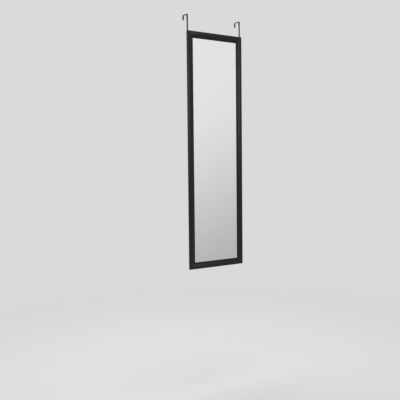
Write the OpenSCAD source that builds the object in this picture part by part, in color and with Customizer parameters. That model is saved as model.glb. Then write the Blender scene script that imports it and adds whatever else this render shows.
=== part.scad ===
// Over the door mirror: a tall narrow mirror in a mitred black moulding, carried by two
// bent steel hangers, each with an open hook at its top.
// +Z is up and the glass faces -Y. Y = 0 is the plane that the leg pads and the bumpers
// rest on, Z = 0 is the plane that the hooks hang on, and X = 0 is the middle of the mirror.

/* [Framed mirror] */
// Width over the mouldings
frame_w = 356; // [300:1:420]
// Height over the mouldings
frame_h = 1270; // [900:5:1600]
// Distance from the plane that the hooks hang on down to the frame
frame_drop = 84; // [60:1:140]

/* [Moulding] */
// Face width of the moulding
moulding_w = 36; // [34:0.5:44]
// Thickness of the moulding at its crown
moulding_t = 13; // [12:0.5:18]
// Radius of the crowned face
crown_r = 40; // [34:1:80]
// Thickness that the crown leaves to the lip in front of the glass
lip_t = 1.8; // [1.4:0.1:3]
// Radius of the rounded outer shoulder
shoulder_r = 2; // [1:0.1:3]
// Radius of the rounded sight edge
nose_r = 1.4; // [0.6:0.1:2]
// How far the outer wall leans in towards the back
wall_draft = 1.5; // [0:0.1:3]
// Width of the rebate that the glass lies in
rebate_w = 11; // [8:0.5:12]

/* [Glass and backing] */
// Thickness of the silvered glass
glass_t = 3; // [2:0.5:4]
// Gap between the edge of the glass and the wall of the rebate
glass_play = 0.5; // [0.2:0.1:1]
// Thickness of the backing board
board_t = 2.5; // [2:0.1:3]
// Gap between the edge of the board and the wall of the rebate
board_play = 1; // [0.3:0.1:2]
// How far the board lies below the back of the moulding
board_sink = 1.4; // [1:0.1:2]

/* [Opening of the hooks] */
// Thickness that the hooks go over
door_t = 35; // [30:0.5:45]
// Play between that thickness and the lip pads
door_play = 1; // [0.5:0.1:3]

/* [Hanger straps] */
// Width of the steel strip
strap_w = 8; // [7:0.5:12]
// Thickness of the steel strip
strap_t = 1.2; // [0.8:0.1:2]
// Distance from the side of the frame in to the middle of the strip
strap_inset = 8.5; // [8:0.5:14]
// Inside radius of each bend
bend_r = 1.5; // [0.6:0.1:1.5]
// Length of the lip that hangs down at the back of the hook
lip_l = 25; // [22:1:40]
// Radius of the corners at both ends of the strip
end_r = 3; // [1:0.1:3.4]
// Distance from the top of the frame down to the pivot screw
pivot_drop = 32; // [28:1:60]
// Number of height holes
hole_count = 3; // [1:1:3]
// Distance between height holes
hole_pitch = 20; // [12:1:24]
// Distance from the lowest hole to the end of the strip
tail_l = 8; // [6:0.5:14]

/* [Pads and bumpers] */
// Thickness of the foam on the leg
leg_pad_t = 2.5; // [2.3:0.1:4]
// Thickness of the foam under the bridge
bridge_pad_t = 1.5; // [1.5:0.1:3]
// Thickness of the foam inside the lip
lip_pad_t = 2; // [1:0.1:3]
// Height of the foam on the leg and on the lip
pad_h = 18; // [10:1:20]
// Length of the foam under the bridge
bridge_pad_l = 28; // [12:1:28]
// Radius of the corners of the foam pads
pad_corner_r = 1.2; // [0.5:0.1:3]
// Diameter of the bumpers at the bottom corners
bumper_d = 14; // [10:0.5:18]
// Distance from the side of the frame in to the middle of a bumper
bumper_inset = 13; // [11:0.5:15]
// Distance from the bottom of the frame up to the middle of a bumper
bumper_rise = 34; // [30:1:80]

/* [Fasteners] */
// Diameter of the plain shank that the strip turns on
shank_d = 3.9; // [3.6:0.1:4.5]
// Radial clearance between the shank and its hole
pivot_clearance = 0.1; // [0.05:0.01:0.3]
// Diameter of the part of the screw that is in the moulding
thread_d = 3.5; // [2.5:0.1:3.5]
// Radial clearance between the screw and its pilot hole
pilot_clearance = 0.05; // [0.02:0.01:0.1]
// Length of the screw under its head
screw_l = 9.5; // [7:0.5:9.5]
// Diameter of the screw's pan head
head_d = 7.6; // [6.5:0.1:9]
// Height of the screw's pan head
head_t = 2.1; // [1.6:0.1:2.2]
// Length of each leg of a corner nail
nail_leg = 5; // [3:0.5:6]
// Thickness of the steel of a corner nail
nail_t = 0.6; // [0.4:0.1:1]
// Depth of a corner nail in the moulding
nail_depth = 6; // [4:0.5:7]
// How far a corner nail is driven below the back
nail_sink = 0.3; // [0.1:0.1:0.8]
// Width of a board point
point_w = 6; // [4:0.5:10]
// Thickness of a board point
point_t = 0.5; // [0.3:0.1:0.8]
// Length of a board point over the board
point_reach = 8; // [4:0.5:12]
// Length of a board point inside the moulding
point_bite = 7; // [4:0.5:9]
// Number of board points along each stile
stile_points = 5; // [3:1:8]
// Number of board points along each rail
rail_points = 2; // [1:1:3]
// Distance from the corner of the frame to the nearest board point
point_margin = 118; // [60:1:130]

/* [Hidden] */

$fn = 48;
moulding_black = "#28282a";
strap_black = "#3a3a3c";
foam_grey = "#55565a";
zinc = "#b9bcc0";

// Planes along Y and Z that the pieces share
back_y = -(leg_pad_t + strap_t);
top_z = -frame_drop;
bottom_z = top_z - frame_h;
mid_z = (top_z + bottom_z) / 2;
pivot_z = top_z - pivot_drop;
strap_x = frame_w / 2 - strap_inset;

// The rebate holds the glass and the board
rebate_d = glass_t + board_t + board_sink;
sight_w = frame_w - 2 * moulding_w;
sight_h = frame_h - 2 * moulding_w;
glass_w = sight_w + 2 * (rebate_w - glass_play);
glass_h = sight_h + 2 * (rebate_w - glass_play);
board_w = sight_w + 2 * (rebate_w - board_play);
board_h = sight_h + 2 * (rebate_w - board_play);

// Anything that is cut away runs this far past the surface that it opens
cut_over = 1;
arc_steps = 8;
crown_steps = 20;

function arc(c, r, a0, a1, steps) =
    [for (i = [0 : steps]) let (a = a0 + (a1 - a0) * i / steps) c + r * [cos(a), sin(a)]];

function rounded_rectangle(w, l, r) = concat(
    arc([w / 2 - r, l / 2 - r], r, 0, 90, arc_steps),
    arc([-w / 2 + r, l / 2 - r], r, 90, 180, arc_steps),
    arc([-w / 2 + r, -l / 2 + r], r, 180, 270, arc_steps),
    arc([w / 2 - r, -l / 2 + r], r, 270, 360, arc_steps));

// ---------------------------------------------------------------------------------------
// The moulding. Its section is drawn with u across the face, from the outer edge to the
// sight edge, and h up from the back. The crowned face is one large arc, which runs on
// smoothly into the small arcs of the shoulder and of the sight edge. The crest lies where
// the crown comes down to the thickness of the lip at the sight edge.

crown_fall = moulding_t - rebate_d - lip_t;
crest_u = moulding_w - sqrt(crown_r ^ 2 - (crown_r - crown_fall) ^ 2);
crown_c = [crest_u, moulding_t - crown_r];
shoulder_angle = 180 - acos((crest_u - shoulder_r) / (crown_r - shoulder_r));
nose_angle = acos((moulding_w - crest_u - nose_r) / (crown_r - nose_r));
shoulder_c = crown_c + (crown_r - shoulder_r) * [cos(shoulder_angle), sin(shoulder_angle)];
nose_c = crown_c + (crown_r - nose_r) * [cos(nose_angle), sin(nose_angle)];

section_outline = concat(
    [[wall_draft, 0]],
    arc(shoulder_c, shoulder_r, 180, shoulder_angle, arc_steps),
    arc(crown_c, crown_r, shoulder_angle, nose_angle, crown_steps),
    arc(nose_c, nose_r, nose_angle, 0, arc_steps),
    [[moulding_w, rebate_d], [moulding_w - rebate_w, rebate_d], [moulding_w - rebate_w, 0]]);

// A bar of moulding along Z, with u along +X and the back at Y = 0
module moulding_bar(length) {
    linear_extrude(height = length, center = true)
        polygon([for (p = section_outline) [p.x, -p.y]]);
}

// What a 45 degree saw leaves at both ends of a bar of this length
module mitre_keep(length) {
    in = moulding_w + cut_over;
    rotate([90, 0, 0])
        linear_extrude(height = 2 * (moulding_t + cut_over), center = true)
            polygon([
                [-cut_over, length / 2 + cut_over], [in, length / 2 - in],
                [in, in - length / 2], [-cut_over, -length / 2 - cut_over]]);
}

module mitred_bar(length) {
    intersection() {
        moulding_bar(length + 2 * cut_over);
        mitre_keep(length);
    }
}

// Places a bar, or what goes into it, on each side of the frame
module on_left() { translate([-frame_w / 2, back_y, mid_z]) children(); }
module on_right() { mirror([1, 0, 0]) on_left() children(); }
module on_top() { translate([0, back_y, top_z]) rotate([0, 90, 0]) children(); }
module on_bottom() { translate([0, back_y, bottom_z]) rotate([0, -90, 0]) children(); }

// One side of the frame, with the seats of its nails and points cut out of it
module frame_side(length, points) {
    difference() {
        mitred_bar(length);
        point_row(points);
        for (end = [0, 1])
            mirror([0, 0, end]) translate([0, 0, length / 2]) corner_nail_pair(nail_sink + cut_over);
    }
}

module left_stile() {
    color(moulding_black)
        difference() {
            on_left() frame_side(frame_h, stile_row);
            pilot_hole(-1);
        }
}

module right_stile() {
    color(moulding_black)
        difference() {
            on_right() frame_side(frame_h, stile_row);
            pilot_hole(1);
        }
}

module top_rail() { color(moulding_black) on_top() frame_side(frame_w, rail_row); }
module bottom_rail() { color(moulding_black) on_bottom() frame_side(frame_w, rail_row); }

// ---------------------------------------------------------------------------------------
// What the frame holds

module mirror_glass() {
    color("#dfe3e4")
        translate([-glass_w / 2, back_y - rebate_d, mid_z - glass_h / 2])
            cube([glass_w, glass_t, glass_h]);
}

module backing_board() {
    color("#8a6a48")
        translate([-board_w / 2, back_y - board_sink - board_t, mid_z - board_h / 2])
            cube([board_w, board_t, board_h]);
}

// ---------------------------------------------------------------------------------------
// Corner nails: strips folded to a right angle and driven in from the back across the mitre.
// Drawn for the end of a bar, with the outer corner of the frame at X = 0, Z = 0. The slot
// that a nail leaves is the nail's own shape, run on behind it until it opens at the back.

nail_rows = [moulding_w / 3, (moulding_w - rebate_w + moulding_w / 3 + nail_leg) / 2 + nail_t];

module corner_nail(row, behind) {
    near = row - nail_leg;
    in = row - nail_t;
    translate([0, behind - nail_sink, 0])
        rotate([90, 0, 0])
            linear_extrude(height = nail_depth + behind)
                polygon([[near, -row], [row, -row], [row, -near], [in, -near], [in, -in], [near, -in]]);
}

module corner_nail_pair(behind = 0) {
    for (row = nail_rows) corner_nail(row, behind);
}

module corner_v_nails() {
    color(zinc)
        for (side = [0, 1]) mirror([side, 0, 0])
            on_left()
                for (end = [0, 1]) mirror([0, 0, end]) translate([0, 0, frame_h / 2]) corner_nail_pair();
}

// ---------------------------------------------------------------------------------------
// Board points: pointed steel tabs, pressed into the wall of the rebate over the board

// Where the points lie along a stile and along a rail, from the middle of each
stile_row = spread(frame_h - 2 * point_margin, stile_points);
rail_row = spread(frame_w - 2 * point_margin, rail_points);

function spread(span, count) = count < 2 ? [0] : [for (i = [0 : count - 1]) span * (i / (count - 1) - 0.5)];

module board_point() {
    tip = point_bite / 2;
    wall = moulding_w - rebate_w;
    translate([wall, point_t - board_sink, 0])
        rotate([90, 0, 0])
            linear_extrude(height = point_t)
                polygon([
                    [-point_bite, 0], [tip - point_bite, point_w / 2], [point_reach, point_w / 2],
                    [point_reach, -point_w / 2], [tip - point_bite, -point_w / 2]]);
}

module point_row(places) {
    for (place = places) translate([0, 0, place]) board_point();
}

module board_points() {
    color(zinc) {
        on_left() point_row(stile_row);
        on_right() point_row(stile_row);
        on_top() point_row(rail_row);
        on_bottom() point_row(rail_row);
    }
}

// ---------------------------------------------------------------------------------------
// Hangers: a steel strip bent twice into a hook, with a row of holes for the height.
// Each turns on one screw in the back of its stile.

leg_y = -leg_pad_t;
bridge_z = bridge_pad_t;
lip_y = door_t + door_play + lip_pad_t;
lip_end_z = bridge_z - lip_l;
outer_r = bend_r + strap_t;
hole_r = shank_d / 2 + pivot_clearance;
pivot_hole = floor(hole_count / 2);
hole_z = [for (i = [0 : hole_count - 1]) pivot_z + (pivot_hole - i) * hole_pitch];
tail_z = hole_z[hole_count - 1] - tail_l;

// The strip seen from the side, with Y across and Z up
strip_outline = concat(
    [[leg_y - strap_t, tail_z]],
    arc([leg_y + bend_r, bridge_z - bend_r], outer_r, 180, 90, arc_steps),
    arc([lip_y - bend_r, bridge_z - bend_r], outer_r, 90, 0, arc_steps),
    [[lip_y + strap_t, lip_end_z], [lip_y, lip_end_z]],
    arc([lip_y - bend_r, bridge_z - bend_r], bend_r, 0, 90, arc_steps),
    arc([leg_y + bend_r, bridge_z - bend_r], bend_r, 90, 180, arc_steps),
    [[leg_y, tail_z]]);

// Takes both corners off an end of the strip that points down
module end_corners(y, z) {
    corner = concat(
        [[strap_w / 2 + cut_over, -cut_over]],
        [[strap_w / 2 - end_r, -cut_over]],
        arc([strap_w / 2 - end_r, end_r], end_r, 270, 360, arc_steps),
        [[strap_w / 2 + cut_over, end_r]]);
    for (side = [0, 1])
        mirror([side, 0, 0])
            translate([0, y, z])
                rotate([90, 0, 0])
                    linear_extrude(height = 2 * (strap_t + cut_over), center = true) polygon(corner);
}

module hanger(side) {
    color(strap_black)
        translate([side * strap_x, 0, 0])
            difference() {
                rotate([90, 0, 90])
                    linear_extrude(height = strap_w, center = true) polygon(strip_outline);
                end_corners(leg_y - strap_t / 2, tail_z);
                end_corners(lip_y + strap_t / 2, lip_end_z);
                for (z = hole_z)
                    translate([0, leg_y - strap_t / 2, z])
                        rotate([90, 0, 0]) cylinder(h = strap_t + 2 * cut_over, r = hole_r, center = true);
            }
}

module left_hanger() { hanger(-1); }
module right_hanger() { hanger(1); }

// ---------------------------------------------------------------------------------------
// Pivot screws: a pan head and a plain shank that the strip turns on, then the thread

thread_l = screw_l - strap_t;
tip_l = thread_d / 2;
tip_r = thread_d / 8;
head_edge_t = head_t / 3;
recess_w = head_d / 7;
recess_l = head_d * 0.6;
recess_d = head_t * 0.6;

// The outline of the screw, with its radius across and its axis up, from the tip to the head
screw_outline = concat(
    [[0, -screw_l], [tip_r, -screw_l], [thread_d / 2, tip_l - screw_l], [thread_d / 2, -strap_t],
        [shank_d / 2, -strap_t], [shank_d / 2, 0], [head_d / 2, 0], [head_d / 2, head_edge_t]],
    [for (i = [1 : arc_steps]) let (a = 90 * i / arc_steps)
        [head_d / 2 * cos(a), head_edge_t + (head_t - head_edge_t) * sin(a)]]);

// Puts a screw's axis along Y, with the underside of its head on the back of the strip
module at_pivot(side) {
    translate([side * strap_x, leg_y, pivot_z]) rotate([-90, 0, 0]) children();
}

module hanger_screw(side) {
    color(zinc)
        at_pivot(side)
            difference() {
                rotate_extrude() polygon(screw_outline);
                for (turn = [0, 90])
                    rotate([0, 0, turn])
                        translate([-recess_l / 2, -recess_w / 2, head_t - recess_d])
                            cube([recess_l, recess_w, recess_d + cut_over]);
            }
}

module pilot_hole(side) {
    at_pivot(side)
        translate([0, 0, -screw_l - pilot_clearance])
            cylinder(h = thread_l + pilot_clearance + cut_over, r = thread_d / 2 + pilot_clearance);
}

module left_hanger_screw() { hanger_screw(-1); }
module right_hanger_screw() { hanger_screw(1); }

// ---------------------------------------------------------------------------------------
// Foam pads inside each hook, and bumpers that reach back as far as the leg pads do

module foam_strip(l, t) {
    linear_extrude(height = t) polygon(rounded_rectangle(strap_w, l, pad_corner_r));
}

module leg_pad(side) {
    color(foam_grey)
        translate([side * strap_x, 0, -bend_r - pad_h / 2])
            rotate([90, 0, 0]) foam_strip(pad_h, leg_pad_t);
}

module lip_pad(side) {
    color(foam_grey)
        translate([side * strap_x, lip_y, -bend_r - pad_h / 2])
            rotate([90, 0, 0]) foam_strip(pad_h, lip_pad_t);
}

module bridge_pad(side) {
    color(foam_grey)
        translate([side * strap_x, (leg_y + lip_y) / 2, 0]) foam_strip(bridge_pad_l, bridge_pad_t);
}

module left_leg_pad() { leg_pad(-1); }
module right_leg_pad() { leg_pad(1); }
module left_lip_pad() { lip_pad(-1); }
module right_lip_pad() { lip_pad(1); }
module left_bridge_pad() { bridge_pad(-1); }
module right_bridge_pad() { bridge_pad(1); }

module bumper(side) {
    edge = bumper_d / 14;
    color(foam_grey)
        translate([side * (frame_w / 2 - bumper_inset), back_y, bottom_z + bumper_rise])
            rotate([-90, 0, 0])
                rotate_extrude()
                    polygon(concat(
                        [[0, 0], [bumper_d / 2, 0]],
                        arc([bumper_d / 2 - edge, -back_y - edge], edge, 0, 90, arc_steps),
                        [[0, -back_y]]));
}

module left_bumper() { bumper(-1); }
module right_bumper() { bumper(1); }

left_stile();
right_stile();
top_rail();
bottom_rail();
mirror_glass();
backing_board();
corner_v_nails();
board_points();
left_hanger();
right_hanger();
left_hanger_screw();
right_hanger_screw();
left_leg_pad();
right_leg_pad();
left_bridge_pad();
right_bridge_pad();
left_lip_pad();
right_lip_pad();
left_bumper();
right_bumper();
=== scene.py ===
# %% [markdown]
# # Over the door mirror
#
# The object is a tall narrow mirror in a black frame, carried by two bent steel straps, each
# with a hook at its top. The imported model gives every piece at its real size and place.
# This script makes the same pieces again with finer forms and real finishes, lights them
# softly, and looks at them from where the photograph was taken.
#
# Loading the model comes first, because every size below is read from it.

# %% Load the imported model
import math

import bmesh
import bpy
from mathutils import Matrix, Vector


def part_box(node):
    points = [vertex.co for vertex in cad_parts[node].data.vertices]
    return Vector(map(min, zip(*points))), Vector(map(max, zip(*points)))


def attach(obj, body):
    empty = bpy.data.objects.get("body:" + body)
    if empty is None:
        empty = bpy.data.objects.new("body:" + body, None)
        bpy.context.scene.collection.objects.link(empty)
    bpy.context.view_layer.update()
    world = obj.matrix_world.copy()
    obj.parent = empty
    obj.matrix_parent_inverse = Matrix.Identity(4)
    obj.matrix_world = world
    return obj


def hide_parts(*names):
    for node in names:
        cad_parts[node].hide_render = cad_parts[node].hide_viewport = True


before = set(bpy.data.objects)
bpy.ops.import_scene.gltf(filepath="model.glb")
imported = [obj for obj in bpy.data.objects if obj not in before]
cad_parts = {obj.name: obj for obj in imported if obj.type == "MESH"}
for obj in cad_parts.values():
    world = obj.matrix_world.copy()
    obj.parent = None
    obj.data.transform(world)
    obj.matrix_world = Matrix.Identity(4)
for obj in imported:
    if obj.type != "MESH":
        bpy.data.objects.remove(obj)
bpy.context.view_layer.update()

MM = 0.001
near = 0.01 * MM  # two places closer than this count as one
past = MM  # how far a cutting tool runs on past what it cuts
print("nodes in the model:", len(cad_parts))

# %% [markdown]
# ## Hands
#
# Blender's operators act on whatever is selected, as they do when someone works by hand.
# So each step starts by clearing the selection, and then selects just what it needs. These
# helpers pick up one object, open its mesh, name, turn, move and measure it. Turns and
# moves go into the mesh, so that every piece keeps its object at the origin.


# %% Pick up, name, set down and measure
def close_mesh():
    """Leave edit mode."""
    bpy.ops.object.mode_set(mode="OBJECT")


def deselect():
    """Leave edit mode and let go of everything."""
    if bpy.context.object and bpy.context.object.mode != "OBJECT":
        close_mesh()
    bpy.ops.object.select_all(action="DESELECT")


def pick_up(piece):
    """Make a piece the only selected one."""
    deselect()
    piece.select_set(True)
    bpy.context.view_layer.objects.active = piece


def open_mesh(piece):
    """Pick up a piece and go into edit mode with nothing selected."""
    pick_up(piece)
    bpy.ops.object.mode_set(mode="EDIT")
    bpy.ops.mesh.select_all(action="DESELECT")


def select_all():
    """In edit mode, select everything."""
    bpy.ops.mesh.select_all(action="SELECT")


def named(name):
    """Give the object that was just made its name."""
    piece = bpy.context.object
    piece.name = name
    piece.data.name = name
    return piece


def set_down(piece, turn=(0, 0, 0), at=(0, 0, 0)):
    """Turn a piece about the origin, move it, and put both into its mesh."""
    pick_up(piece)
    piece.rotation_euler = [math.radians(angle) for angle in turn]
    piece.location = at
    bpy.ops.object.transform_apply(location=True, rotation=True, scale=True)
    return piece


def measure(piece):
    """Print how many faces a piece has, and its size."""
    size = [round(side / MM, 2) for side in piece.dimensions]
    print(f"{piece.name}: {len(piece.data.polygons)} faces, {size} mm")


# %% [markdown]
# ## Measures of the frame
#
# The four black bars meet in mitres, so the boxes of the left stile and the glass give
# nearly all that the frame needs: how wide and thick the moulding is, where its back lies
# and how deep the rebate is in which the glass sits.

# %% Measures of the frame
stile_low, stile_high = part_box("left_stile")
glass_low, glass_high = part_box("mirror_glass")
board_low, board_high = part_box("backing_board")

half_w = -stile_low.x
top_z = stile_high.z
bottom_z = stile_low.z
mid_z = (top_z + bottom_z) / 2
back_y = stile_high.y
moulding_w = stile_high.x - stile_low.x
moulding_t = stile_high.y - stile_low.y
rebate_d = back_y - glass_low.y
stile_l = top_z - bottom_z
rail_l = 2 * half_w
print(f"frame {rail_l / MM:.0f} x {stile_l / MM:.0f} mm, rebate {rebate_d / MM:.1f} mm deep")

# %% [markdown]
# ## The section of the moulding
#
# The bars are cut from one long black moulding. Its face is a shallow crown, which runs
# smoothly into a small round shoulder outside and a rounded nose at the sight edge. The
# bevels of a box would meet its face at a visible line. Three arcs that touch each other
# don't, and their radii are the real ones.

# %% The section of the moulding
crown_r = 40 * MM
shoulder_r = 2 * MM
nose_r = 1.4 * MM
lip_t = 1.8 * MM
wall_draft = 1.5 * MM
rebate_w = 11 * MM

# Across the face is u, from the outer edge, and up from the back is h
crown_fall = moulding_t - rebate_d - lip_t
crest_u = moulding_w - math.sqrt(crown_r**2 - (crown_r - crown_fall) ** 2)
crown_c = Vector((crest_u, moulding_t - crown_r))
to_shoulder = math.acos((crest_u - shoulder_r) / (crown_r - shoulder_r))
to_nose = math.acos((moulding_w - crest_u - nose_r) / (crown_r - nose_r))
shoulder_c = crown_c + (crown_r - shoulder_r) * Vector((-math.cos(to_shoulder), math.sin(to_shoulder)))
nose_c = crown_c + (crown_r - nose_r) * Vector((math.cos(to_nose), math.sin(to_nose)))
ARCS = [
    (shoulder_c, to_shoulder, 14),
    (crown_c, math.pi - to_shoulder - to_nose, 40),
    (nose_c, to_nose, 12),
]
REBATE = [
    (moulding_w, rebate_d),
    (moulding_w - rebate_w, rebate_d),
    (moulding_w - rebate_w, 0),
    (wall_draft, 0),
]
print(f"crest {crest_u / MM:.1f} mm from the outer edge")

# %% [markdown]
# ## A bar of moulding
#
# A single point is spun about each arc's centre in turn, and then extruded along the lip,
# the rebate and the back. The outline is filled and drawn out to a bar that is a little too
# long. A bisect at each end does what a mitre saw does, and fills the cut. Spins can leave
# faces turned inwards, so at the end doubles are merged and every face is turned out.


# %% A bar of moulding
def single_point(name, at):
    """A mesh of one vertex, ready to be extruded or spun."""
    deselect()
    bpy.ops.mesh.primitive_plane_add(size=MM)
    piece = named(name)
    bpy.ops.object.mode_set(mode="EDIT")
    bpy.ops.mesh.select_mode(type="VERT")
    bpy.ops.mesh.merge(type="CENTER")
    bpy.ops.transform.translate(value=at)
    return piece


def extrude(by):
    """In edit mode, extrude what is selected and move the new end."""
    bpy.ops.mesh.extrude_region_move(TRANSFORM_OT_translate={"value": by})


def turn_out(piece):
    """Merge doubles and make every face point outwards."""
    open_mesh(piece)
    select_all()
    bpy.ops.mesh.remove_doubles(threshold=0.001 * MM)
    bpy.ops.mesh.normals_make_consistent(inside=False)
    close_mesh()
    return piece


def bar(name, length):
    """A mitred bar of moulding along Z, its outer edge at X = 0 and its back at Y = 0."""
    piece = single_point(name, (0, -shoulder_c.y, -length / 2 - past))
    for centre, sweep, steps in ARCS:
        bpy.ops.mesh.spin(
            steps=steps, angle=sweep, center=(centre.x, -centre.y, 0), axis=(0, 0, -1))
    here = Vector((moulding_w, nose_c.y))
    for corner in REBATE:
        step = Vector(corner) - here
        extrude((step.x, -step.y, 0))
        here = Vector(corner)
    select_all()
    bpy.ops.mesh.edge_face_add()
    extrude((0, 0, length + 2 * past))
    for end in (1, -1):
        select_all()
        bpy.ops.mesh.bisect(
            plane_co=(0, 0, end * length / 2), plane_no=(1, 0, end), use_fill=True, clear_outer=True)
    return turn_out(piece)


# %% [markdown]
# ## A stile and a rail
#
# A saw leaves a faint broken edge along every mitre. Left sharp, the four bars would look
# like one printed block. Rounding the edges by a sixth of a millimetre gives the joints the
# fine line that a real frame shows, and catches a little light along the sight edge. A
# Bevel modifier with an angle limit finds the sharp edges and leaves the arcs alone.


# %% A stile and a rail
def modify(piece, kind, **settings):
    """Add a modifier, set it and apply it."""
    pick_up(piece)
    modifier = piece.modifiers.new(kind.title(), kind)
    for setting, value in settings.items():
        setattr(modifier, setting, value)
    bpy.ops.object.modifier_apply(modifier=modifier.name)
    return piece


def round_edges(piece, width, segments=2, angle=35):
    """Take the sharpness off every edge that turns by more than an angle."""
    return modify(
        piece, "BEVEL", width=width, segments=segments, limit_method="ANGLE",
        angle_limit=math.radians(angle), use_clamp_overlap=False)


saw_edge = 0.16 * MM
stile = round_edges(bar("left_stile_moulding", stile_l), saw_edge)
rail = round_edges(bar("top_rail_moulding", rail_l), saw_edge)
measure(stile)
measure(rail)

# %% [markdown]
# ## Blocks, places and copies
#
# Small steel parts and foam strips start as blocks. To shape one, an edge or a face of it
# has to be selected. By hand that is a click, and in code it is a test of the place. What
# repeats is made once and copied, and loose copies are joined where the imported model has
# them as one node.


# %% Blocks, places and copies
def block(name, low, high):
    """A cube primitive that fills the box between two corners."""
    low, high = Vector(low), Vector(high)
    deselect()
    bpy.ops.mesh.primitive_cube_add(size=1, location=(low + high) / 2, scale=high - low)
    return set_down(named(name), at=(low + high) / 2)


def select_where(kind, test):
    """In edit mode, select the vertices, edges or faces whose middle passes a test."""
    bpy.ops.mesh.select_mode(type=kind)
    bpy.ops.mesh.select_all(action="DESELECT")
    data = bpy.context.object.data
    mesh = bmesh.from_edit_mesh(data)
    parts = {"VERT": mesh.verts, "EDGE": mesh.edges, "FACE": mesh.faces}[kind]
    for part in parts:
        corners = [part] if kind == "VERT" else part.verts
        middle = sum((corner.co for corner in corners), Vector()) / len(corners)
        if test(middle):
            part.select_set(True)
    mesh.select_flush_mode()
    bmesh.update_edit_mesh(data)


def copy_of(piece, name):
    """A copy with its own mesh."""
    pick_up(piece)
    bpy.ops.object.duplicate(linked=False)
    return named(name)


def joined(name, pieces):
    """Several loose solids as one piece."""
    deselect()
    for piece in pieces:
        piece.select_set(True)
    bpy.context.view_layer.objects.active = pieces[0]
    bpy.ops.object.join()
    return named(name)


def scrap(piece):
    """Throw a tool or a pattern away."""
    bpy.data.objects.remove(piece)


# %% [markdown]
# ## Corner nails
#
# From the back each mitre is pinned by two folded steel nails, with the fold on the mitre
# and a leg in each bar. Two crossed blocks would do, but they would overlap at the fold. So
# a nail starts as a small square post at the fold, and a leg is extruded from each of two
# of its faces. It is made at one corner, and copies are turned by a quarter for the others.

# %% Corner nails
nail_leg = 5 * MM
nail_t = 0.6 * MM
nail_edge = 0.08 * MM
nail_low, nail_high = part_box("corner_v_nails")
NAIL_ROWS = (12 * MM, 21.6 * MM)
CORNERS = [(-half_w, top_z), (half_w, top_z), (half_w, bottom_z), (-half_w, bottom_z)]


def corner_nail(row):
    """A folded nail for the top left corner, which lies at the origin."""
    piece = block("nail", (row - nail_t, nail_low.y, -row), (row, nail_high.y, nail_t - row))
    leg = nail_leg - nail_t
    open_mesh(piece)
    select_where("FACE", lambda middle: middle.z > nail_t - row - near)
    extrude((0, 0, leg))
    select_where("FACE", lambda middle: middle.x < row - nail_t + near and middle.z < nail_t - row)
    extrude((-leg, 0, 0))
    return round_edges(turn_out(piece), nail_edge)


nails = []
for row in NAIL_ROWS:
    first_nail = corner_nail(row)
    for quarter, (x, z) in enumerate(CORNERS):
        nails.append(set_down(copy_of(first_nail, "nail_copy"), turn=(0, 90 * quarter, 0), at=(x, 0, z)))
    scrap(first_nail)
nails = joined("corner_v_nails_steel", nails)
measure(nails)

# %% [markdown]
# ## Slots for the nails
#
# Each leg leaves a slot in its bar, open at the back. It would be simpler to cut with the
# nail itself, but the edge of its fold lies right in the mitre's face, and a cut along a
# face leaves slivers and holes. So the tool is a block that runs on past the mitre. A
# Boolean also leaves vertices halfway along straight edges, where only two edges meet.
# They are dissolved, so that the mesh stays clean.


# %% Slots for the nails
def combine_solids(piece, other, operation):
    """Cut a solid out of a piece or merge it in, and clean up the edges that this leaves."""
    modify(piece, "BOOLEAN", object=other, operation=operation, solver="EXACT")
    open_mesh(piece)
    bpy.ops.mesh.select_mode(type="VERT")
    mesh = bmesh.from_edit_mesh(piece.data)
    for vertex in mesh.verts:
        vertex.select_set(len(vertex.link_edges) == 2)
    bmesh.update_edit_mesh(piece.data)
    bpy.ops.mesh.dissolve_verts()
    return turn_out(piece)


def cut(piece, cutter):
    """Take one solid away from another."""
    return combine_solids(piece, cutter, "DIFFERENCE")


def slot_for_nails(piece, length):
    """Cut the slots into both ends of a bar, while it still stands along Z."""
    for row in NAIL_ROWS:
        for end in (1, -1):
            side = end * (length / 2 - row)
            other_side = side + end * nail_t
            tool = block(
                "slot", (row - nail_leg, nail_low.y - back_y, min(side, other_side)),
                (row + past, past, max(side, other_side)))
            cut(piece, tool)
            scrap(tool)


slot_for_nails(stile, stile_l)
slot_for_nails(rail, rail_l)
measure(stile)
measure(rail)

# %% [markdown]
# ## Four bars
#
# The stile and the rail are copied, and each bar is turned to its side. A copy could share
# its mesh with the first, but points and screws are still to be cut out of the bars, and
# not in the same places.

# %% Four bars
# Where each side of the frame lies: the turn about Y that brings a bar there, and its place
SIDES = {
    "left": (0, (-half_w, back_y, mid_z)),
    "right": (180, (half_w, back_y, mid_z)),
    "top": (90, (0, back_y, top_z)),
    "bottom": (-90, (0, back_y, bottom_z)),
}


def put_on(piece, side, along=0.0):
    """Bring what was drawn for a bar along Z, with its outer edge at X = 0, to one side."""
    angle, place = SIDES[side]
    set_down(piece, at=(0, 0, along))
    return set_down(piece, turn=(0, angle, 0), at=place)


bars = {
    "left": stile,
    "right": copy_of(stile, "right_stile_moulding"),
    "top": rail,
    "bottom": copy_of(rail, "bottom_rail_moulding"),
}
for side, piece in bars.items():
    put_on(piece, side)
    measure(piece)

# %% [markdown]
# ## Board points
#
# The board is held down by flat steel points, pressed into the wall of the rebate. Each is
# a small flat tab with one pointed end. The tab is a thin block, and the end that goes into
# the moulding is extruded and squeezed to a blunt tip. At a sharp one the rounded edges
# would fold over each other. One tab is copied round the frame, and then all tabs are cut
# out of the bars.

# %% Board points
point_low, point_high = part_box("board_points")
point_w = 6 * MM
point_reach = 8 * MM
point_bite = 7 * MM
point_edge = 0.06 * MM
tip_l = point_bite / 2
tip_w = 0.3 * MM
wall_u = moulding_w - rebate_w
point_margin = 118 * MM


def spread(span, count):
    """Even places along a bar, centred on its middle."""
    return [span * (place / (count - 1) - 0.5) for place in range(count)]


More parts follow.
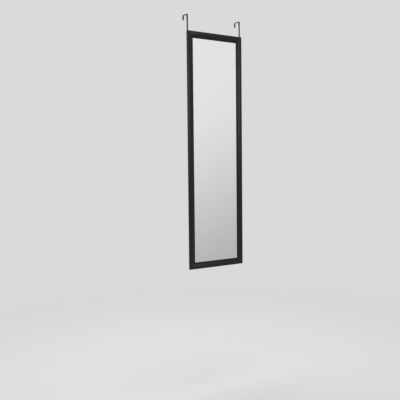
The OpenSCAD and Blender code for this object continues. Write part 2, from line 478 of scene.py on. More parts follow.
on_stile = spread(stile_l - 2 * point_margin, 5)
on_rail = spread(rail_l - 2 * point_margin, 2)
POINT_PLACES = {"left": on_stile, "right": on_stile, "top": on_rail, "bottom": on_rail}

# The first tab is drawn for a bar along Z, as the bars were
tab_start = wall_u - point_bite + tip_l
first_point = block(
    "point", (tab_start, point_low.y - back_y, -point_w / 2),
    (wall_u + point_reach, point_high.y - back_y, point_w / 2))
open_mesh(first_point)
select_where("FACE", lambda middle: middle.x < tab_start + near)
extrude((-tip_l, 0, 0))
bpy.ops.transform.resize(value=(1, 1, tip_w / point_w))
round_edges(turn_out(first_point), point_edge)

points = []
for side, places in POINT_PLACES.items():
    for place in places:
        points.append(put_on(copy_of(first_point, "point_copy"), side, place))
scrap(first_point)
points = joined("board_points_steel", points)
measure(points)
for piece in bars.values():
    cut(piece, points)

# %% [markdown]
# ## Glass and board
#
# The mirror is a sheet of float glass. Its cut edges are seamed with a belt, which breaks
# the corners by half a millimetre, so all its edges get a narrow flat chamfer. The board
# behind it is sawn from thin brown hardboard, with softer, slightly furred edges. Between
# them lie the silver and its paint. If the two blocks shared one plane, rays would hit
# either at random, so the sheet stops short of the board by the thickness of that film.

# %% Glass and board
film_t = 0.05 * MM
glass_seam = 0.45 * MM
board_edge = 0.25 * MM
mirror = block("silvered_glass", glass_low, glass_high - Vector((0, film_t, 0)))
round_edges(mirror, glass_seam, segments=1)
board = block("hardboard_back", board_low, board_high)
round_edges(board, board_edge)
measure(mirror)
measure(board)

# %% [markdown]
# ## Hanger straps
#
# Each hanger is one steel strip, bent twice into a hook. Bending a flat bar with a modifier
# would stretch its outside, so the bent shape is drawn at once. Its inner face comes first:
# an edge as wide as the strip is extruded up the leg, spun round the first bend, drawn
# across, spun round the second bend and brought down to the end of the lip. The corners of
# both ends are rounded while the sheet is still flat and thin.

# %% The inner face of a strap
hanger_low, hanger_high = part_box("left_hanger")
leg_pad_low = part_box("left_leg_pad")[0]
bridge_pad_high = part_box("left_bridge_pad")[1]

bend_r = 1.5 * MM
end_r = 3 * MM
lip_past_pad = 4 * MM
strap_x = (hanger_low.x + hanger_high.x) / 2
strap_w = hanger_high.x - hanger_low.x
leg_y = leg_pad_low.y
strap_t = leg_y - hanger_low.y
bend_z = bridge_pad_high.z - bend_r
lip_y = hanger_high.y - strap_t
lip_end_z = leg_pad_low.z - lip_past_pad
bend = {"steps": 12, "angle": math.pi / 2, "axis": (1, 0, 0)}

strap = single_point("left_hanger_strap", (strap_x - strap_w / 2, leg_y, hanger_low.z))
extrude((strap_w, 0, 0))
select_all()
extrude((0, 0, bend_z - hanger_low.z))
bpy.ops.mesh.spin(center=(0, leg_y + bend_r, bend_z), **bend)
extrude((0, lip_y - leg_y - 2 * bend_r, 0))
bpy.ops.mesh.spin(center=(0, lip_y - bend_r, bend_z), **bend)
extrude((0, 0, lip_end_z - bend_z))
turn_out(strap)

# Round the two corners at the tail and the two at the lip
tail, lip = hanger_low.z + near, lip_end_z + near
open_mesh(strap)
select_where("VERT", lambda v: v.z < tail or (v.y > lip_y - near and v.z < lip))
bpy.ops.mesh.bevel(offset=end_r, segments=8, affect="VERTICES")
close_mesh()
measure(strap)

# %% [markdown]
# ## Thickness and holes
#
# An extrusion along one axis would leave the bends thin. Solidify gives the sheet the same
# thickness everywhere. Three holes are drilled, the middle one for the pivot screw and the
# others to hang the mirror higher or lower. At last the edges are softened, as powder coat
# softens them.

# %% Thickness and holes
screw_low, screw_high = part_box("left_hanger_screw")
pivot_z = (screw_low.z + screw_high.z) / 2
hole_r = 2.05 * MM
hole_step = 20 * MM
strap_edge = 0.18 * MM


def drill(piece, x, z, radius, front, back):
    """Drill a round hole along Y."""
    deselect()
    bpy.ops.mesh.primitive_cylinder_add(vertices=48, radius=radius, depth=back - front)
    bit = set_down(named("bit"), turn=(90, 0, 0), at=(x, (front + back) / 2, z))
    cut(piece, bit)
    scrap(bit)


modify(strap, "SOLIDIFY", thickness=strap_t, offset=1, use_even_offset=True)
turn_out(strap)
for z in (pivot_z + hole_step, pivot_z, pivot_z - hole_step):
    drill(strap, strap_x, z, hole_r, hanger_low.y - past, leg_y + past)
round_edges(strap, strap_edge, segments=3)
other_strap = set_down(copy_of(strap, "right_hanger_strap"), at=(-2 * strap_x, 0, 0))
measure(strap)

# %% [markdown]
# ## Pivot screws
#
# One pan-head screw holds each strap to its stile, and the strap turns on its plain shank.
# A stack of cylinders would show steps where the real head is one smooth curve. A screw is
# turned on a lathe, and so is this one: its outline is drawn as a line of points on one
# side of the axis and spun once round.

# %% The body of a screw
head_r = (screw_high.x - screw_low.x) / 2
head_top = screw_high.y
rim_y = leg_y + (head_top - leg_y) / 3
rim_edge = 0.15 * MM
shank_r = 1.95 * MM
neck_l = 0.5 * MM
core_r = 1.25 * MM
tip_r = 0.3 * MM
taper_l = 1.6 * MM
thread_front = screw_low.y + taper_l


def lathe(name, outline):
    """Spin an outline of radius and place along Y once round the Y axis."""
    piece = single_point(name, (outline[0][0], outline[0][1], 0))
    for here, there in zip(outline, outline[1:]):
        extrude((there[0] - here[0], there[1] - here[1], 0))
    select_all()
    bpy.ops.mesh.spin(steps=48, angle=2 * math.pi, center=(0, 0, 0), axis=(0, 1, 0))
    return turn_out(piece)


def quarter_arc(centre, radius, steps):
    """A quarter of an ellipse, from the side of its centre to straight behind it."""
    angles = [math.radians(90 * step / steps) for step in range(steps + 1)]
    return [(centre[0] + radius[0] * math.cos(a), centre[1] + radius[1] * math.sin(a)) for a in angles]


outline = [(0, screw_low.y), (tip_r, screw_low.y), (core_r, thread_front)]
outline += [(core_r, hanger_low.y - neck_l), (shank_r, hanger_low.y), (shank_r, leg_y)]
outline += [(head_r - rim_edge, leg_y), (head_r, leg_y + rim_edge)]
outline += quarter_arc((0, rim_y), (head_r, head_top - rim_y), 12)
screw = lathe("left_pivot_screw", outline)
measure(screw)

# %% [markdown]
# ## The cross recess
#
# The head has a cross for the driver, which narrows as it goes in. One outline with twelve
# corners would do. Two crossing blocks are quicker: each is narrowed at its deep end and
# cuts its arms of the cross.

# %% The cross recess
recess_d = 1.3 * MM
arm_l = 4.6 * MM
arm_w = 1.1 * MM
narrowing = (0.55, 1, 0.7)
recess_floor = head_top - recess_d

for turn in (0, 90):
    arm = block(
        "arm", (-arm_l / 2, recess_floor, -arm_w / 2), (arm_l / 2, head_top + past, arm_w / 2))
    open_mesh(arm)
    select_where("VERT", lambda v: v.y < recess_floor + near)
    bpy.ops.transform.resize(value=narrowing)
    set_down(arm, turn=(0, turn, 0))
    cut(screw, arm)
    scrap(arm)
measure(screw)

# %% [markdown]
# ## The thread
#
# A bump map could fake a thread, but its outline would stay straight. Here a small triangle
# is wound along the axis by the Screw modifier, its open ends are filled, and it is merged
# into the core, so that the whole screw is one solid. It is turned a little first, so that
# no corner of it meets one of the core.

# %% The thread
thread_r = 1.75 * MM
thread_root = 0.2 * MM
thread_half = 0.3 * MM
thread_turn = 4
pitch = 1.3 * MM
inner_r = core_r - thread_root

ridge = single_point("thread", (inner_r, thread_front - thread_root, 0))
extrude((thread_r - inner_r, thread_half, 0))
extrude((inner_r - thread_r, thread_half, 0))
select_all()
bpy.ops.mesh.edge_face_add()
bpy.ops.mesh.delete(type="ONLY_FACE")
close_mesh()
modify(ridge, "SCREW", axis="Y", screw_offset=pitch, iterations=4, steps=24, render_steps=24)
open_mesh(ridge)
select_all()
bpy.ops.mesh.fill_holes(sides=3)
set_down(turn_out(ridge), turn=(0, thread_turn, 0))
combine_solids(screw, ridge, "UNION")
scrap(ridge)
measure(screw)

# %% [markdown]
# ## Two screws in their stiles
#
# The screw is set down in its place and copied for the other side. Pushed into a solid
# stile, it would share its space, so each stile gets a pilot hole that clears the thread.

# %% Two screws in their stiles
pilot_play = 0.05 * MM
set_down(screw, at=(strap_x, 0, pivot_z))
other_screw = set_down(copy_of(screw, "right_pivot_screw"), at=(-2 * strap_x, 0, 0))
for side, centre_x in (("left", strap_x), ("right", -strap_x)):
    drill(bars[side], centre_x, pivot_z, thread_r + pilot_play, screw_low.y - pilot_play, back_y + past)
    measure(bars[side])

# %% [markdown]
# ## Foam pads
#
# Bare steel would scratch what it hangs on, so each hook is lined with three strips of
# die-cut foam. A strip has square-cut sides with rounded corners, and its free face swells a
# little in the middle. Subdivision would swell the whole strip like a cushion. So a block
# that is a hair too thin gets its four upright corners rounded, its free face is inset and
# raised to the full thickness, and then the rim is softened.

# %% Foam pads
pad_corner_r = 1.2 * MM
pad_swell = 0.15 * MM
pad_edge = 0.22 * MM
pad_slope = 0.8 * pad_corner_r  # a wider inset would fold over at the rounded corners


def foam_pad(name, node, axis, out):
    """A foam strip in a node's box. It is thick along an axis, and its free face points out."""
    low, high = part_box(node)
    rim_low, rim_high = low.copy(), high.copy()
    rim = rim_high if out > 0 else rim_low
    rim[axis] -= out * pad_swell
    piece = block(name, rim_low, rim_high)
    flat = [0, 1, 2]
    flat.remove(axis)
    middle = (low + high) / 2

    def upright(place):
        return all(abs(place[a] - middle[a]) > (high[a] - low[a]) / 2 - near for a in flat)

    open_mesh(piece)
    select_where("EDGE", upright)
    bpy.ops.mesh.bevel(offset=pad_corner_r, segments=6, affect="EDGES")
    select_where("FACE", lambda place: abs(place[axis] - rim[axis]) < near)
    bpy.ops.mesh.inset(thickness=pad_slope, depth=pad_swell)
    close_mesh()
    return round_edges(piece, pad_edge, segments=3, angle=50)


# For each pad, the axis along which it is thick, and the way that its free face points
PADS = {"leg": (1, 1), "bridge": (2, -1), "lip": (1, -1)}
pads = {}
for side in ("left", "right"):
    for where, (axis, out) in PADS.items():
        node = f"{side}_{where}_pad"
        pads[node] = foam_pad(f"{node}_foam", node, axis, out)
print("pads:", sorted(pads))

# %% [markdown]
# ## Bumpers
#
# Two soft round bumpers at the bottom corners reach back as far as the pads on the legs, so
# the mirror hangs upright and doesn't knock. Each has a rounded rim and a face that is
# dished slightly, so that it grips. That is a turned shape again, so the lathe makes it.

# %% Bumpers
bumper_low, bumper_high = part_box("left_bumper")
bumper_x = (bumper_low.x + bumper_high.x) / 2
bumper_z = (bumper_low.z + bumper_high.z) / 2
bumper_r = (bumper_high.x - bumper_low.x) / 2
bumper_rim = MM
dish_r = 0.62 * bumper_r
dish_edge = 0.12 * MM
dish_d = 0.3 * MM

outline = [(0, bumper_low.y), (bumper_r, bumper_low.y)]
outline += quarter_arc((bumper_r - bumper_rim, bumper_high.y - bumper_rim), (bumper_rim, bumper_rim), 10)
outline += [(dish_r, bumper_high.y - dish_edge), (0, bumper_high.y - dish_d)]
bumper = set_down(lathe("left_bumper_foam", outline), at=(bumper_x, 0, bumper_z))
other_bumper = set_down(copy_of(bumper, "right_bumper_foam"), at=(-2 * bumper_x, 0, 0))
measure(bumper)

# %% [markdown]
# ## Hand the pieces over
#
# A finished piece is shaded smooth, except across real edges. It rides on the body that
# carries it, and stands in for the solid of the imported model, which is then hidden. Its
# size is printed, to be held against that solid.
#
# The frame, the glass and the board are one body, and so are the screws that are driven
# into it. Each hook carries its own strap and pads, because it swings on its screw.


# %% Hand the pieces over
def hand_over(piece, body, slot, *nodes):
    """Finish a piece, let it ride on its body and hide the nodes that it stands for."""
    pick_up(piece)
    bpy.ops.object.shade_smooth_by_angle(angle=math.radians(30))
    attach(piece, body)
    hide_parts(*nodes)
    measure(piece)


BAR_NODES = {"left": "left_stile", "right": "right_stile", "top": "top_rail", "bottom": "bottom_rail"}
for side, node in BAR_NODES.items():
    hand_over(bars[side], "mirror", "moulding", node)
hand_over(mirror, "mirror", "mirror", "mirror_glass")
hand_over(board, "mirror", "board", "backing_board")
hand_over(nails, "mirror", "zinc_steel", "corner_v_nails")
hand_over(points, "mirror", "zinc_steel", "board_points")
hand_over(screw, "mirror", "zinc_steel", "left_hanger_screw")
hand_over(other_screw, "mirror", "zinc_steel", "right_hanger_screw")
hand_over(bumper, "mirror", "foam", "left_bumper")
hand_over(other_bumper, "mirror", "foam", "right_bumper")
hand_over(strap, "left_hook", "black_steel", "left_hanger")
hand_over(other_strap, "right_hook", "black_steel", "right_hanger")
for node, pad in pads.items():
    hand_over(pad, node.split("_")[0] + "_hook", "foam", node)

# %% [markdown]
# ## Nodes
#
# A finish is a small tree of nodes. Each node could be placed and linked line by line, but
# the pattern is always the same: make it, choose its settings, and feed each input from
# another node or with a value. These helpers do that and give back the output.


# %% Nodes
def feed(tree, value, socket):
    """Link a socket to another one, or give it a value. A colour gets full alpha."""
    if isinstance(value, bpy.types.NodeSocket):
        tree.links.new(value, socket)
    elif socket.type == "RGBA":
        socket.default_value = (*value, 1)
    else:
        socket.default_value = value


def node_in(tree, kind, inputs, **settings):
    """A new node with its settings made and its inputs fed, by name or by number."""
    node = tree.nodes.new(kind)
    for setting, value in settings.items():
        setattr(node, setting, value)
    for label, value in inputs.items():
        feed(tree, value, node.inputs[label])
    return node


def maths(tree, operation, one, two):
    """Two values as one."""
    return node_in(tree, "ShaderNodeMath", {0: one, 1: two}, operation=operation).outputs[0]


def ramp(tree, value, start, end, low=0.0, high=1.0, kind="SMOOTHSTEP"):
    """A value that goes from low to high while another one goes from start to end."""
    given = {"Value": value, "From Min": start, "From Max": end, "To Min": low, "To Max": high}
    return node_in(tree, "ShaderNodeMapRange", given, interpolation_type=kind).outputs["Result"]


def blended(tree, weight, under, over):
    """One value, with another laid over it where the weight is full."""
    given = {"Factor": weight, "A": under, "B": over}
    return node_in(tree, "ShaderNodeMix", given, data_type="FLOAT").outputs["Result"]


def coloured(tree, mask, under, over, blend_type="MIX"):
    """One colour, with another laid over it where the mask is full."""
    mix = node_in(tree, "ShaderNodeMix", {"Factor": mask}, data_type="RGBA", blend_type=blend_type)
    ends = [socket for socket in mix.inputs if socket.type == "RGBA"]
    feed(tree, under, ends[0])
    feed(tree, over, ends[1])
    return next(socket for socket in mix.outputs if socket.type == "RGBA")


# %% [markdown]
# ## Grain
#
# Two effects are used by more than one finish, so each is a node group, built once. The
# first is grain, which is noise. At a fine scale it is a texture, which can be drawn out
# along a bar, and at a coarse one it is the faint change that handling leaves over a hand's
# breadth. A picture of a grain would have to be wrapped round each bar, and noise in the
# piece's own coordinates runs right through it.


# %% Grain
def new_group(name, inputs, outputs):
    """An empty node group. An input starts from a number, or from three for a vector."""
    group = bpy.data.node_groups.new(name, "ShaderNodeTree")
    for label, value in inputs.items():
        kind = "NodeSocketFloat" if isinstance(value, float) else "NodeSocketVector"
        socket = group.interface.new_socket(label, in_out="INPUT", socket_type=kind)
        socket.default_value = value
    for label in outputs:
        group.interface.new_socket(label, in_out="OUTPUT", socket_type="NodeSocketFloat")
    source, sink = group.nodes.new("NodeGroupInput"), group.nodes.new("NodeGroupOutput")
    print("group:", name)
    return group, source.outputs, sink.inputs


grain, given, wanted = new_group(
    "grain", {"Vector": (0, 0, 0), "Scale": (900, 900, 900), "Detail": 3.0, "Contrast": 0.25},
    ["Height", "Mask"])
scaled = node_in(grain, "ShaderNodeMapping", {"Vector": given["Vector"], "Scale": given["Scale"]})
noise = node_in(
    grain, "ShaderNodeTexNoise",
    {"Vector": scaled.outputs["Vector"], "Scale": 1.0, "Detail": given["Detail"], "Roughness": 0.55})
height = noise.outputs["Fac"]
start = maths(grain, "SUBTRACT", 0.5, given["Contrast"])
end = maths(grain, "ADD", 0.5, given["Contrast"])
feed(grain, height, wanted["Height"])
feed(grain, ramp(grain, height, start, end, kind="LINEAR"), wanted["Mask"])

# %% [markdown]
# ## Rub
#
# The second effect is the wear along the outer edge of the frame or of a strap, where cloth
# and hands pass. The sharpness of the mesh could drive it, but the worn edges here are those
# of a plain outline. So it starts within reach of the sides of a box, seen from the front,
# and noise breaks it up into patches.

# %% Rub
rub, given, wanted = new_group(
    "rub",
    {"Vector": (0, 0, 0), "Middle": (0, 0, 0), "Half Width": 0.1, "Half Height": 0.1,
     "Reach": 0.002, "Breakup": 60.0},
    ["Mask"])
centred = node_in(
    rub, "ShaderNodeVectorMath", {0: given["Vector"], 1: given["Middle"]}, operation="SUBTRACT")
mirrored = node_in(rub, "ShaderNodeVectorMath", {0: centred.outputs[0]}, operation="ABSOLUTE")
parts = node_in(rub, "ShaderNodeSeparateXYZ", {0: mirrored.outputs[0]}).outputs
across = maths(rub, "SUBTRACT", parts["X"], given["Half Width"])
along = maths(rub, "SUBTRACT", parts["Z"], given["Half Height"])
inner = maths(rub, "MULTIPLY", given["Reach"], -1.0)
edge = ramp(rub, maths(rub, "MAXIMUM", across, along), inner, 0.0)
noise = node_in(
    rub, "ShaderNodeTexNoise",
    {"Vector": given["Vector"], "Scale": given["Breakup"], "Detail": 4.0, "Roughness": 0.6})
patches = ramp(rub, noise.outputs["Fac"], 0.42, 0.62)
feed(rub, maths(rub, "MULTIPLY", edge, patches), wanted["Mask"])

# %% [markdown]
# ## The recipe for a finish
#
# Most of these finishes are alike in how they are built: a base colour that a mask moves
# between two tones, a roughness that another mask moves a little, and a fine bump. Each
# finish gives these helpers its own values. What is the same all over a piece is set on the
# shader itself.


# %% The recipe for a finish
def start_finish(name):
    """A new material: its tree, its shader and the place on the piece."""
    material = bpy.data.materials.new(name)
    material.use_nodes = True
    tree = material.node_tree
    place = tree.nodes.new("ShaderNodeTexCoord").outputs["Object"]
    print("finish:", name)
    return material, tree, tree.nodes["Principled BSDF"], place


def add_grain(tree, place, scale, detail=3.0, contrast=0.25):
    """The grain group in a material, at so many waves per metre in X, Y and Z."""
    given = {"Vector": place, "Scale": scale, "Detail": detail, "Contrast": contrast}
    return node_in(tree, "ShaderNodeGroup", given, node_tree=grain).outputs


def add_rub(tree, place, middle, half, reach, breakup):
    """The rub group in a material, along the outline of a box of half that width and height."""
    given = {"Vector": place, "Middle": middle, "Half Width": half[0], "Half Height": half[1],
             "Reach": reach, "Breakup": breakup}
    return node_in(tree, "ShaderNodeGroup", given, node_tree=rub).outputs["Mask"]


def between(tree, mask, low, high):
    """A value that a mask moves from low to high."""
    return ramp(tree, mask, 0.0, 1.0, low, high, kind="LINEAR")


def bumped(tree, height, strength, depth):
    """A surface raised and lowered by a height, so deep at most."""
    given = {"Height": height, "Strength": strength, "Distance": depth}
    return node_in(tree, "ShaderNodeBump", given).outputs["Normal"]


def set_shader(tree, shader, values):
    """Feed several inputs of the shader."""
    for label, value in values.items():
        feed(tree, value, shader.inputs[label])


# %% [markdown]
# ## Black moulding
#
# The moulding is satin black, with a faint grain pressed into it along its length. The
# grain has to run along each bar, so the stiles and the rails have a material each, which
# differ only in the direction of that stretch. The outer edges are rubbed a little.


# %% Black moulding
def moulding_finish(name, scale):
    """Satin black with a pressed grain, drawn out along the bar."""
    material, tree, shader, place = start_finish(name)
    pressed = add_grain(tree, place, scale, detail=5.0)
    handled = add_grain(tree, place, (7, 7, 7), detail=2.0)
    worn = add_rub(
        tree, place, middle=(0, 0, mid_z), half=(half_w, stile_l / 2), reach=1.6 * MM, breakup=45.0)
    black = coloured(tree, pressed["Mask"], (0.0135, 0.0135, 0.0137), (0.0185, 0.0185, 0.0187))
    set_shader(tree, shader, {
        "Base Color": coloured(tree, worn, black, (0.034, 0.034, 0.035)),
        "Roughness": between(tree, handled["Mask"], 0.26, 0.32),
        "Specular IOR Level": 0.18,
        "Normal": bumped(tree, pressed["Height"], 1.0, 0.16 * MM),
    })
    return material


black_upright = moulding_finish("black_moulding_upright", (620, 620, 11))
black_level = moulding_finish("black_moulding_level", (11, 620, 620))

# %% [markdown]
# ## Silvered glass
#
# A mirror could be one polished metal face, which is quick and robust. But the real
# silver lies behind three millimetres of glass. That depth shows: beside the frame, on the
# side away from the eye, a dark band appears where the glass looks in under the lip. So the
# sheet is clear glass in front and polished metal on its back face. The seamed edge is
# ground and greenish.

# %% Clear glass, with the faintest traces of wiping
clear_glass, tree, shader, place = start_finish("clear_glass")
wiped = add_grain(tree, place, (9, 9, 4), contrast=0.2)["Mask"]
set_shader(tree, shader, {
    "Base Color": coloured(tree, wiped, (0.989, 0.990, 0.989), (0.993, 0.994, 0.993)),
    "Roughness": between(tree, wiped, 0.0, 0.006),
    "Transmission Weight": 1.0,
    "IOR": 1.52,
})

# %% Silver film
silver, tree, shader, place = start_finish("silver_film")
cloud = add_grain(tree, place, (5, 5, 3), detail=2.0, contrast=0.2)["Mask"]
set_shader(tree, shader, {
    "Base Color": coloured(tree, cloud, (0.944, 0.944, 0.943), (0.954, 0.954, 0.953)),
    "Roughness": between(tree, cloud, 0.002, 0.008),
    "Metallic": 1.0,
})

# %% Seamed edge
glass_edge, tree, shader, place = start_finish("seamed_glass_edge")
ground = add_grain(tree, place, (2500, 2500, 2500))
set_shader(tree, shader, {
    "Base Color": coloured(tree, ground["Mask"], (0.05, 0.09, 0.075), (0.09, 0.15, 0.125)),
    "Roughness": between(tree, ground["Mask"], 0.35, 0.5),
    "Normal": bumped(tree, ground["Height"], 0.3, 0.03 * MM),
})

# %% [markdown]
# ## Hardboard
#
# Hardboard is pressed wood fibre. Its rear carries the fine weave of the wire screen that
# it was pressed on, and its brown is speckled with darker and lighter fibres. Noise alone
# would look like paper. Two sets of waves that cross make the weave. It is raised with the
# fibres, and its hollows are darkened a little as painted shade, half and half with slow patches of dust.

# %% Hardboard
hardboard, tree, shader, place = start_finish("brown_hardboard")
fibres = add_grain(tree, place, (1500, 1500, 420), detail=7.0, contrast=0.2)
dusty = add_grain(tree, place, (12, 12, 12))["Mask"]
waves = []
for direction in ("X", "Z"):
    wave = node_in(
        tree, "ShaderNodeTexWave", {"Vector": place, "Scale": 240.0, "Distortion": 0.6},
        bands_direction=direction)
    waves.append(wave.outputs["Fac"])
weave = maths(tree, "MULTIPLY", *waves)
brown = coloured(tree, fibres["Mask"], (0.130, 0.072, 0.038), (0.275, 0.165, 0.095))
# Painted shade: the brown darkens in the hollows of the weave, mixed half and half with random patches of
# dust
dust_and_hollow_shade = coloured(tree, blended(tree, 0.5, dusty, weave), (0.72, 0.70, 0.68), (1.0, 1.0, 1.0))
set_shader(tree, shader, {
    "Base Color": coloured(tree, 1.0, brown, dust_and_hollow_shade, blend_type="MULTIPLY"),
    "Roughness": between(tree, fibres["Mask"], 0.62, 0.8),
    "Normal": bumped(tree, maths(tree, "ADD", weave, fibres["Height"]), 0.5, 0.12 * MM),
})

# %% [markdown]
# ## Steel
#
# The straps are powder coated, which leaves a fine orange peel and a soft gloss, and they
# are rubbed along their edges. Both lie equally far from the middle of the mirror, so one
# box finds the edges of both, and they need no material each. The screws, nails and points
# are bright zinc, slightly cloudy.

# %% Powder coat
powder_coat, tree, shader, place = start_finish("black_powder_coat")
peel = add_grain(tree, place, (1100, 1100, 1100), detail=2.0)["Height"]
tint = add_grain(tree, place, (60, 60, 30))["Mask"]
either_side = node_in(tree, "ShaderNodeVectorMath", {0: place}, operation="ABSOLUTE").outputs[0]
worn = add_rub(
    tree, either_side, middle=(-strap_x, 0, 0), half=(strap_w / 2, -hanger_low.z),
    reach=0.55 * MM, breakup=170.0)
black = coloured(tree, tint, (0.010, 0.010, 0.0105), (0.017, 0.017, 0.0175))
set_shader(tree, shader, {
    "Base Color": coloured(tree, worn, black, (0.055, 0.055, 0.057)),
    "Roughness": between(tree, tint, 0.36, 0.46),
    "Specular IOR Level": 0.2,
    "Normal": bumped(tree, peel, 0.35, 0.05 * MM),
})

# %% Bright zinc
zinc, tree, shader, place = start_finish("bright_zinc")
cloud = add_grain(tree, place, (500, 500, 500), detail=4.0)
set_shader(tree, shader, {
    "Base Color": coloured(tree, cloud["Mask"], (0.48, 0.50, 0.52), (0.66, 0.67, 0.68)),
    "Roughness": between(tree, cloud["Mask"], 0.22, 0.38),
    "Metallic": 1.0,
    "Normal": bumped(tree, cloud["Height"], 0.15, 0.02 * MM),
})

# %% [markdown]
# ## Foam
#
# The pads are closed-cell foam: dull, dark grey, and pitted with cells a third of a
# millimetre across. Noise would give lumps, and a Voronoi texture gives cells that lie wall
# to wall as they do in foam.

# %% Foam
foam, tree, shader, place = start_finish("closed_cell_foam")
cells = node_in(tree, "ShaderNodeTexVoronoi", {"Vector": place, "Scale": 3000.0})
mottle = add_grain(tree, place, (300, 300, 300), detail=4.0)["Mask"]
set_shader(tree, shader, {
    "Base Color": coloured(tree, mottle, (0.030, 0.030, 0.032), (0.055, 0.055, 0.058)),
    "Roughness": between(tree, mottle, 0.85, 0.95),
    "Normal": bumped(tree, cells.outputs["Distance"], 0.7, 0.12 * MM),
})

# %% [markdown]
# ## Dress the pieces
#
# Every piece now gets its finish. The glass is the only one with three, so its faces are
# sorted by the way they point: clear glass in front, silver behind, and the seamed edge.


# %% Dress the pieces
def dress(piece, *materials):
    """Give a piece its materials, the first of which covers it all."""
    piece.data.materials.clear()
    for material in materials:
        piece.data.materials.append(material)
    print(piece.name, "in", *(material.name for material in materials))


for side in ("left", "right"):
    dress(bars[side], black_upright)
for side in ("top", "bottom"):
    dress(bars[side], black_level)
dress(mirror, glass_edge, clear_glass, silver)
for face in mirror.data.polygons:
    if abs(face.normal.y) > 0.99:
        face.material_index = 1 if face.normal.y < 0 else 2
dress(board, hardboard)
for piece in (nails, points, screw, other_screw):
    dress(piece, zinc)
for piece in (strap, other_strap):
    dress(piece, powder_coat)
for piece in (*pads.values(), bumper, other_bumper):
    dress(piece, foam)

# %% [markdown]
# ## Floor
#
# Such a mirror hangs from hooks about two metres up, so the floor lies that far below them.
# A square floor would show its rim in some views, and in the mirror. A round one that fades
# out before its rim, by its alpha, has no edge to show.

# %% Floor
hung_at = 2032 * MM
floor_r = 3.3
deselect()
bpy.ops.mesh.primitive_circle_add(vertices=96, radius=floor_r, fill_type="NGON", location=(0, 0, -hung_at))
floor = set_down(named("studio_floor"), at=(0, 0, -hung_at))

pale, tree, shader, place = start_finish("pale_floor")
parts = node_in(tree, "ShaderNodeSeparateXYZ", {0: place}).outputs
level = node_in(tree, "ShaderNodeCombineXYZ", {"X": parts["X"], "Y": parts["Y"]})
reach = node_in(tree, "ShaderNodeVectorMath", {0: level.outputs[0]}, operation="LENGTH")
set_shader(tree, shader, {
    "Base Color": (0.80, 0.80, 0.80),
    "Roughness": 0.7,
    "Alpha": ramp(tree, reach.outputs["Value"], 0.3 * floor_r, 0.97 * floor_r, 1.0, 0.0),
})
dress(floor, pale)

# %% [markdown]
# ## Surroundings
#
# A mirror shows the light around it. Single lights would leave hard shapes in the glass. A
# field of brightness, worked out from the direction of the look, can be as soft as it has
# to be. These helpers change a value as the look leans towards a direction or rises.

# %% Tools for the surroundings
scene = bpy.context.scene
scene.world = bpy.data.worlds.new("soft_studio")
scene.world.use_nodes = True
sky = scene.world.node_tree
sky.nodes.clear()
look = sky.nodes.new("ShaderNodeTexCoord").outputs["Generated"]
UP, BEHIND, RIGHT = Vector((0, 0, 1)), Vector((0, 1, 0)), Vector((1, 0, 0))


def heading(azimuth, elevation):
    """A direction ahead of the mirror: azimuth from its normal to the right, and up."""
    a, e = math.radians(azimuth), math.radians(elevation)
    return Vector((math.sin(a) * math.cos(e), -math.cos(a) * math.cos(e), math.sin(e)))


def leaning(direction, start, end, low, high):
    """A value that changes smoothly as the look leans towards a direction."""
    lean = node_in(sky, "ShaderNodeVectorMath", {0: look, 1: direction}, operation="DOT_PRODUCT")
    return ramp(sky, lean.outputs["Value"], start, end, low, high)


def rise(low_angle, high_angle, low, high, up=UP):
    """A value that changes with the height of the look, or along another way up."""
    return leaning(up, math.sin(math.radians(low_angle)), math.sin(math.radians(high_angle)), low, high)


def spot(direction, edge_angle, core_angle, strength):
    """A round soft spot, full inside its core."""
    edge, core = math.cos(math.radians(edge_angle)), math.cos(math.radians(core_angle))
    return leaning(direction, edge, core, 0.0, strength)


print("world:", scene.world.name)

# %% [markdown]
# ## The dome
#
# On the frame in the photograph the slopes that face left are the brightest, those that
# face right the darkest, and all of it darkens towards the bottom. So the dome is low and
# even, brighter above the horizon and to the left, with one glow ahead of the mirror and a
# little above it.

# %% The dome
left_side = leaning(RIGHT, 0.60, 0.82, 0.36, 0.0)
glow = spot(heading(7, 12), 21, 3, 3.2)
lit = maths(sky, "MULTIPLY", maths(sky, "ADD", left_side, glow), rise(-3, 9, 0.0, 1.0))
dome = maths(sky, "MULTIPLY", maths(sky, "ADD", lit, 0.46), rise(16, 42, 1.0, 0.55))
print("nodes in the dome:", len(sky.nodes))

# %% [markdown]
# ## What the glass shows
#
# In the photograph the glass is nearly white at the top and falls to a mid grey at the
# bottom right. So the patch of the surroundings that it shows to the camera has a slow
# gradient of its own, up and to the left. From straight ahead the glow would stand in the
# glass as a hard white block, so what is seen through the glass is a calm gradient.

# %% What the glass shows
up_left = Vector((-0.456, -0.308, 1.0))
patch = rise(-18, 8, 0.39, 0.81, up=up_left)
in_patch = spot(heading(34.2, 1.3), 17, 11.5, 1.0)

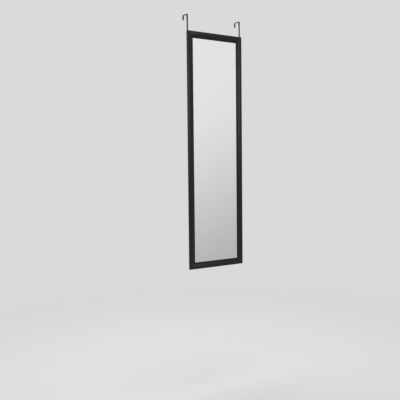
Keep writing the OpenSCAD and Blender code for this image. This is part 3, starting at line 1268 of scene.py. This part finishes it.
kind_of_ray = sky.nodes.new("ShaderNodeLightPath").outputs
calmed = blended(sky, kind_of_ray["Is Transmission Ray"], dome, rise(-18, 8, 0.36, 0.66))
ahead = blended(sky, in_patch, calmed, patch)
field = blended(sky, leaning(BEHIND, -0.15, 0.35, 0.0, 1.0), ahead, 0.66)
print("nodes with the patch:", len(sky.nodes))

# %% [markdown]
# ## Backdrop
#
# The camera could see the field too, but its glow would then stand behind the mirror in
# some views. So the camera sees an even pale backdrop, and the field lights all the rest.

# %% Backdrop
backdrop = node_in(sky, "ShaderNodeBackground", {"Color": (0.70, 0.70, 0.70)})
surroundings = node_in(sky, "ShaderNodeBackground", {"Color": (1.0, 1.0, 1.0), "Strength": field})
either = node_in(
    sky, "ShaderNodeMixShader",
    {0: kind_of_ray["Is Camera Ray"], 1: surroundings.outputs[0], 2: backdrop.outputs[0]})
node_in(sky, "ShaderNodeOutputWorld", {"Surface": either.outputs[0]})
print("nodes in all:", len(sky.nodes))

# %% [markdown]
# ## Overhead panel
#
# A wide soft panel overhead lights the floor, and leaves the upright faces to the
# surroundings. It is hidden from the camera and from reflections.

# %% Overhead panel
deselect()
bpy.ops.object.light_add(type="AREA", location=(0, 0.4, 1.9))
panel = bpy.context.object
panel.name = "overhead_panel"
panel.data.shape = "DISK"
panel.data.size = 2.6
panel.data.energy = 60
panel.visible_camera = False
panel.visible_glossy = False
print(f"panel {panel.data.size:.1f} m across, {panel.data.energy:.0f} W")

# %% [markdown]
# ## Camera
#
# The camera stands to the left of the mirror, a little above its middle, and looks down
# at it by three degrees. It could be moved by eye until the picture fits, but then place
# and lens would make up for each other. Both were found by fitting the eight corners of the
# frame to the photograph.

# %% Camera
camera_at = (-1.8073, -2.6507, -0.7822)
camera_turn = (90 - 3.604, 0.596, -32.830)
deselect()
bpy.ops.object.camera_add(location=camera_at)
camera = bpy.context.object
camera.name = "photo_camera"
camera.rotation_euler = [math.radians(angle) for angle in camera_turn]
camera.data.sensor_width = 36
camera.data.lens = 52.399
scene.camera = camera
scene.view_settings.view_transform = "Standard"
print(f"camera {math.hypot(*camera_at):.2f} m from the hooks, lens {camera.data.lens:.1f} mm")
